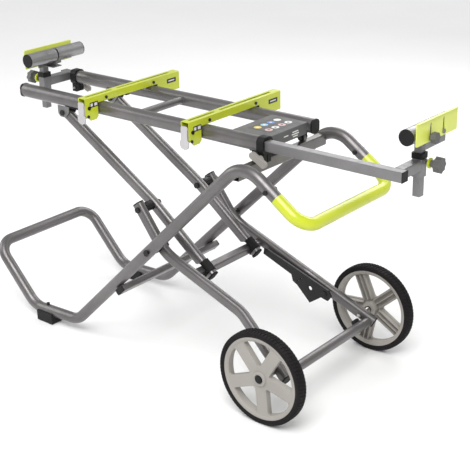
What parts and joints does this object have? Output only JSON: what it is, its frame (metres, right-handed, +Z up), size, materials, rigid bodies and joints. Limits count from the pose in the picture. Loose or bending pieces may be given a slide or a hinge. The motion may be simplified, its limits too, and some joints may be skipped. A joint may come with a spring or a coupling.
{
  "type": "folding wheeled saw stand",
  "caption": "Folding wheeled work stand with two rails, sliding saw brackets, extending roller supports with material stops, a carry handle and spoked wheels.",
  "frame": {"origin": "bottom centre of the opened stand's bounding box, on the floor", "axes": "+X along the rails towards the carry handle, +Y towards the far rail, +Z up"},
  "size_m": [1.6805, 0.632, 0.942],
  "materials": {
    "frame_paint": "charcoal metallic powder coat, satin",
    "arm_paint": "mid grey powder coat, satin",
    "lime_paint": "lime yellow powder coat, semi gloss",
    "lever_paint": "light grey powder coat, semi gloss",
    "black_plastic": "moulded nylon, fine texture",
    "tray_plastic": "moulded polypropylene, fine texture",
    "black_rubber": "moulded rubber",
    "tyre_rubber": "solid rubber tyre",
    "rim_plastic": "moulded grey wheel centre",
    "knob_plastic": "moulded grey knob",
    "roller_steel": "bright roller tube",
    "zinc_steel": "zinc plated steel",
    "black_steel": "black powder coat"
  },
  "bodies": {
    "rail_frame": {"near_rail": "frame_paint", "far_rail": "frame_paint", "rail_cross_tube": "frame_paint", "rail_plugs_and_stops": "black_plastic", "rail_pivot_bolts": "black_steel", "rail_clamp_collars": "black_plastic", "arm_clevises": "arm_paint", "frame_pivot_brackets": "black_steel", "tool_tray": "tray_plastic"},
    "handle_frame": {"near_frame_tube": "frame_paint", "far_frame_tube": "frame_paint", "rear_loop_tube": "frame_paint", "carry_handle": "lime_paint", "top_cross_beam": "frame_paint", "lower_brace": "frame_paint", "brace_end_plugs": "black_plastic", "foot_pads": "black_plastic", "frame_bolts": "zinc_steel", "main_pivot_hardware": "zinc_steel"},
    "wheel_frame": {"near_wheel_leg": "frame_paint", "far_wheel_leg": "frame_paint", "leg_cross_tubes": "frame_paint", "leg_caps_and_bumpers": "black_plastic", "leg_pivot_hardware": "zinc_steel", "wheel_axles": "zinc_steel"},
    "upper_arms": {"near_upper_arm": "frame_paint", "far_upper_arm": "frame_paint", "arm_end_rubbers": "black_rubber", "shoulder_nuts": "zinc_steel"},
    "near_wheel": {"near_tyre": "tyre_rubber", "near_rim": "rim_plastic"},
    "far_wheel": {"far_tyre": "tyre_rubber", "far_rim": "rim_plastic"},
    "release_lever": {"release_lever": "black_steel"},
    "right_extension": {"right_extension_arm": "arm_paint", "right_arm_plastics": "black_plastic"},
    "right_post": {"right_post": "arm_paint"},
    "right_roller": {"right_roller_tube": "roller_steel", "right_roller_caps": "black_plastic"},
    "right_stop_plate": {"right_stop_plate": "lime_paint"},
    "right_post_knob": {"right_post_knob": "knob_plastic"},
    "right_plate_knob": {"right_plate_knob": "knob_plastic"},
    "right_wing_knob": {"right_wing_knob": "rim_plastic"},
    "right_bracket": {"right_saw_bracket": "lime_paint", "right_bracket_bolts": "black_steel", "right_bracket_pads": "black_rubber"},
    "right_bracket_lever": {"right_bracket_lever": "lever_paint"},
    "left_extension": {"left_extension_arm": "arm_paint", "left_arm_plastics": "black_plastic"},
    "left_post": {"left_post": "arm_paint"},
    "left_roller": {"left_roller_tube": "roller_steel", "left_roller_caps": "black_plastic"},
    "left_stop_plate": {"left_stop_plate": "lime_paint"},
    "left_post_knob": {"left_post_knob": "knob_plastic"},
    "left_plate_knob": {"left_plate_knob": "knob_plastic"},
    "left_wing_knob": {"left_wing_knob": "rim_plastic"},
    "left_bracket": {"left_saw_bracket": "lime_paint", "left_bracket_bolts": "black_steel", "left_bracket_pads": "black_rubber"},
    "left_bracket_lever": {"left_bracket_lever": "lever_paint"}
  },
  "joints": [
    {"name": "stand_fold", "type": "hinge", "parent": "rail_frame", "child": "handle_frame", "pos_m": [0.29075, 0, 0.755], "axis": [0, 1, 0], "range_deg": [0, 44.3]},
    {"name": "wheel_frame_fold", "type": "hinge", "parent": "handle_frame", "child": "wheel_frame", "pos_m": [-0.05225, 0, 0.4], "axis": [0, 1, 0], "range_deg": [0, 77.55]},
    {"name": "upper_arm_fold", "type": "hinge", "parent": "rail_frame", "child": "upper_arms", "pos_m": [-0.52425, 0, 0.7507], "axis": [0, 1, 0], "range_deg": [-32.21, 0]},
    {"name": "near_wheel_spin", "type": "hinge", "parent": "wheel_frame", "child": "near_wheel", "pos_m": [0.44575, -0.2945, 0.15], "axis": [0, 1, 0], "continuous": true},
    {"name": "far_wheel_spin", "type": "hinge", "parent": "wheel_frame", "child": "far_wheel", "pos_m": [0.44575, 0.2945, 0.15], "axis": [0, 1, 0], "continuous": true},
    {"name": "release_lever_press", "type": "hinge", "parent": "wheel_frame", "child": "release_lever", "pos_m": [0.35575, 0.148, 0.228], "axis": [0, -1, 0], "range_deg": [0, 8], "stiffness_Nm_per_rad": 6, "springref_deg": -20.05},
    {"name": "right_extension_slide", "type": "slide", "parent": "rail_frame", "child": "right_extension", "axis": [1, 0, 0], "range_m": [-0.404, 0]},
    {"name": "right_post_height", "type": "slide", "parent": "right_extension", "child": "right_post", "axis": [0, 0, 1], "range_m": [-0.027, 0.045]},
    {"name": "right_roller_spin", "type": "hinge", "parent": "right_post", "child": "right_roller", "pos_m": [0.78725, 0, 0.9], "axis": [0, 1, 0], "continuous": true},
    {"name": "right_stop_plate_height", "type": "slide", "parent": "right_post", "child": "right_stop_plate", "axis": [0, 0, 1], "range_m": [-0.03, 0]},
    {"name": "right_post_knob_turn", "type": "hinge", "parent": "right_extension", "child": "right_post_knob", "pos_m": [0.80825, 0, 0.804], "axis": [1, 0, 0], "range_deg": [0, 270]},
    {"name": "right_plate_knob_turn", "type": "hinge", "parent": "right_post", "child": "right_plate_knob", "pos_m": [0.82625, -0.034, 0.89], "axis": [1, 0, 0], "range_deg": [0, 270]},
    {"name": "right_wing_knob_turn", "type": "hinge", "parent": "rail_frame", "child": "right_wing_knob", "pos_m": [0.32275, -0.14, 0.757], "axis": [0, 1, 0], "range_deg": [0, 75]},
    {"name": "right_bracket_slide", "type": "slide", "parent": "rail_frame", "child": "right_bracket", "axis": [1, 0, 0], "range_m": [-0.105, 0.1]},
    {"name": "right_bracket_lever_swing", "type": "hinge", "parent": "right_bracket", "child": "right_bracket_lever", "pos_m": [0.08575, -0.181, 0.808], "axis": [-1, 0, 0], "range_deg": [0, 95]},
    {"name": "left_extension_slide", "type": "slide", "parent": "rail_frame", "child": "left_extension", "axis": [1, 0, 0], "range_m": [-0.404, 0]},
    {"name": "left_post_height", "type": "slide", "parent": "left_extension", "child": "left_post", "axis": [0, 0, 1], "range_m": [-0.027, 0.045]},
    {"name": "left_roller_spin", "type": "hinge", "parent": "left_post", "child": "left_roller", "pos_m": [-0.69225, 0, 0.9], "axis": [0, 1, 0], "continuous": true},
    {"name": "left_stop_plate_height", "type": "slide", "parent": "left_post", "child": "left_stop_plate", "axis": [0, 0, 1], "range_m": [0, 0.017]},
    {"name": "left_post_knob_turn", "type": "hinge", "parent": "left_extension", "child": "left_post_knob", "pos_m": [-0.79225, 0, 0.804], "axis": [1, 0, 0], "range_deg": [0, 270]},
    {"name": "left_plate_knob_turn", "type": "hinge", "parent": "left_post", "child": "left_plate_knob", "pos_m": [-0.73125, 0.034, 0.89], "axis": [1, 0, 0], "range_deg": [0, 270]},
    {"name": "left_wing_knob_turn", "type": "hinge", "parent": "rail_frame", "child": "left_wing_knob", "pos_m": [-0.71105, 0.14, 0.757], "axis": [0, 1, 0], "range_deg": [0, 75]},
    {"name": "left_bracket_slide", "type": "slide", "parent": "rail_frame", "child": "left_bracket", "axis": [1, 0, 0], "range_m": [-0.15, 0.1]},
    {"name": "left_bracket_lever_swing", "type": "hinge", "parent": "left_bracket", "child": "left_bracket_lever", "pos_m": [-0.35525, -0.181, 0.808], "axis": [-1, 0, 0], "range_deg": [0, 95]}
  ],
  "couplings": [
    {"joint": "wheel_frame_fold", "follows": "stand_fold", "ratio": 1.7503},
    {"joint": "upper_arm_fold", "follows": "stand_fold", "ratio": -0.7269}
  ]
}
